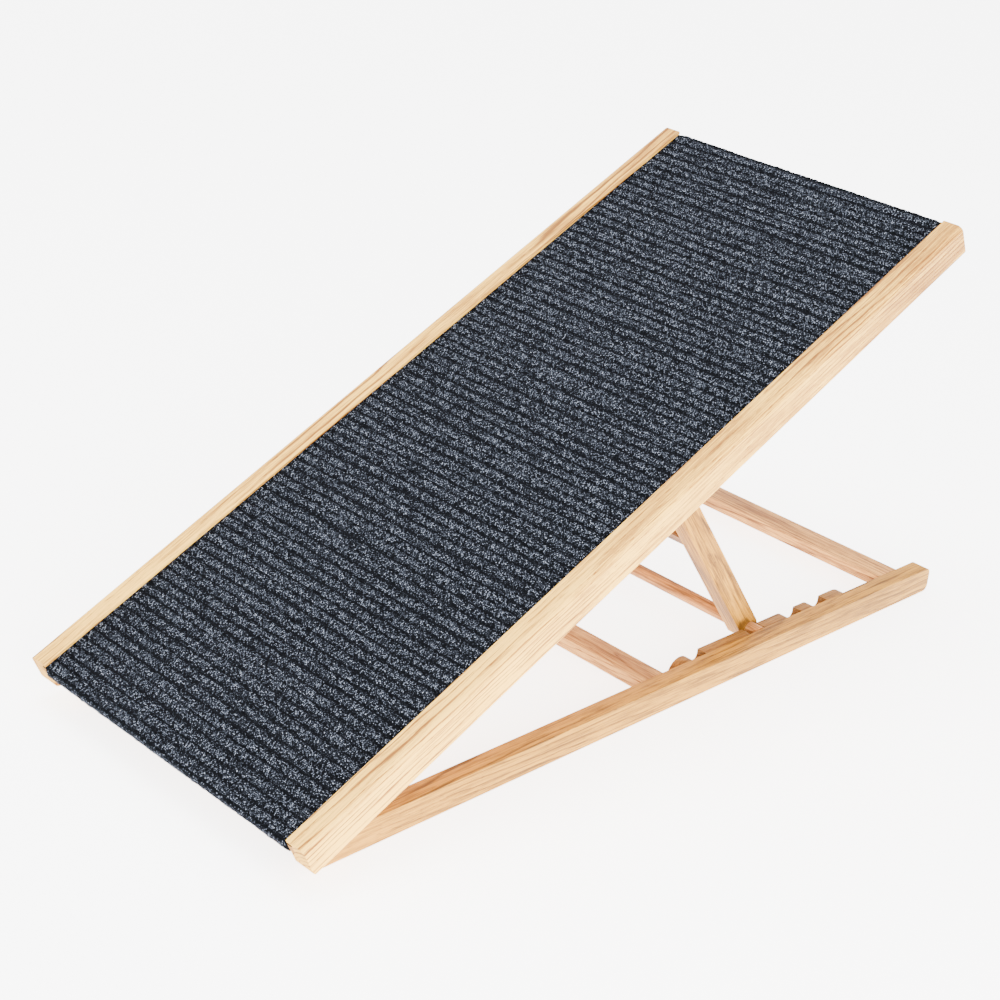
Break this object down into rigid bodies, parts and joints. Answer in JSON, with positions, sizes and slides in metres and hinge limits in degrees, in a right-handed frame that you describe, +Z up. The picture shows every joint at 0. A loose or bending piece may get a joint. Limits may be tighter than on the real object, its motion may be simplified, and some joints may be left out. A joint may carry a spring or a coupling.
{
  "type": "pet ramp",
  "caption": "Folding wooden pet ramp: a carpeted deck hinged to a notched base frame and held up by a prop frame with a round foot bar.",
  "frame": {"origin": "on the floor, under the middle of the whole length and width", "axes": "+X from the low end to the high end, +Y to the left, +Z up"},
  "size_m": [1.014, 0.435, 0.4918],
  "materials": {
    "rail_wood": "satin clear varnish over pale pine",
    "base_wood": "satin clear varnish over warm pine",
    "rack_wood": "satin clear varnish",
    "prop_wood": "satin clear varnish",
    "cross_rail_wood": "satin clear varnish",
    "foot_bar_wood": "turned and varnished",
    "panel_plywood": "raw plywood",
    "batten_wood": "planed pine",
    "pin_wood": "raw beech",
    "carpet": "ribbed loop carpet",
    "pad_rubber": "matt",
    "bolt_steel": "zinc plated",
    "screw_steel": "bright",
    "insert_brass": "plain",
    "washer_nylon": "natural nylon"
  },
  "bodies": {
    "base": {"base_leg_left": "base_wood", "base_leg_right": "base_wood", "base_front_bar": "base_wood", "base_rear_bar": "base_wood", "notch_rack_left": "rack_wood", "notch_rack_right": "rack_wood", "rack_screws": "screw_steel", "base_bar_pins": "pin_wood", "floor_pads": "pad_rubber"},
    "prop": {"prop_leg_left": "prop_wood", "prop_leg_right": "prop_wood", "prop_cross_rail": "cross_rail_wood", "prop_rail_pins": "pin_wood", "prop_foot_bar": "foot_bar_wood", "foot_bar_nails": "screw_steel"},
    "deck": {"deck_rail_left": "rail_wood", "deck_rail_right": "rail_wood", "deck_panel": "panel_plywood", "carpet_runner": "carpet", "carpet_staples": "screw_steel", "deck_batten_low": "batten_wood", "deck_batten_middle": "batten_wood", "deck_batten_high": "batten_wood", "batten_screws": "screw_steel", "batten_pins": "pin_wood", "deck_pivot_bolts": "bolt_steel", "deck_pivot_washers": "washer_nylon", "deck_pivot_inserts": "insert_brass", "prop_cleat_left": "batten_wood", "prop_cleat_right": "batten_wood", "cleat_screws": "screw_steel", "prop_pivot_bolts": "bolt_steel", "prop_pivot_washers": "screw_steel", "prop_pivot_nuts": "bolt_steel"}
  },
  "joints": [
    {"name": "deck_tilt", "type": "hinge", "parent": "base", "child": "deck", "pos_m": [-0.48049, 0, 0.0332], "axis": [0, -1, 0], "range_deg": [0, 45]},
    {"name": "prop_fold", "type": "hinge", "parent": "deck", "child": "prop", "pos_m": [0.02057, 0, 0.27422], "axis": [0, -1, 0], "range_deg": [-60, 0]}
  ],
  "couplings": [
    {"joint": "prop_fold", "follows": "deck_tilt", "ratio": -1.25}
  ]
}
